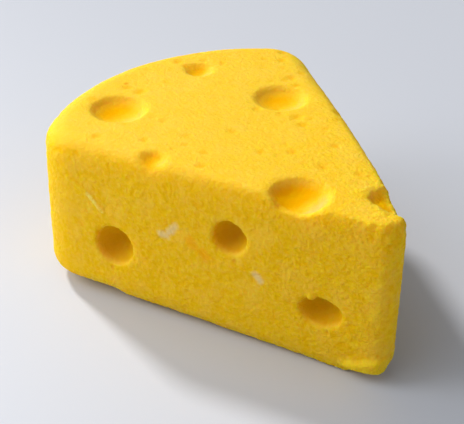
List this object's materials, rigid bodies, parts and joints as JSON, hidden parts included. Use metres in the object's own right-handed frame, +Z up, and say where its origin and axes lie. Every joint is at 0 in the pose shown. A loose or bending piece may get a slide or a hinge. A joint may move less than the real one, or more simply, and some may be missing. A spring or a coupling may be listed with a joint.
{
  "type": "cheese wedge",
  "caption": "Wedge of yellow cheese with soft rounded edges, a bowed rind end, open round eyes in its top and deeper eyes in its sides. Lies flat on its base.",
  "frame": {"origin": "middle of the bounding box, on the flat base", "axes": "+X along the wedge's middle line from the rind towards the tip, +Y towards the back cut face, +Z up"},
  "size_m": [0.1036, 0.081, 0.0449],
  "materials": {
    "cheese": "warm saturated yellow, fine soft grain with small pits, matte with a faint sheen, slightly translucent"
  },
  "bodies": {
    "root": {"cheese_wedge": "cheese"}
  },
  "joints": []
}
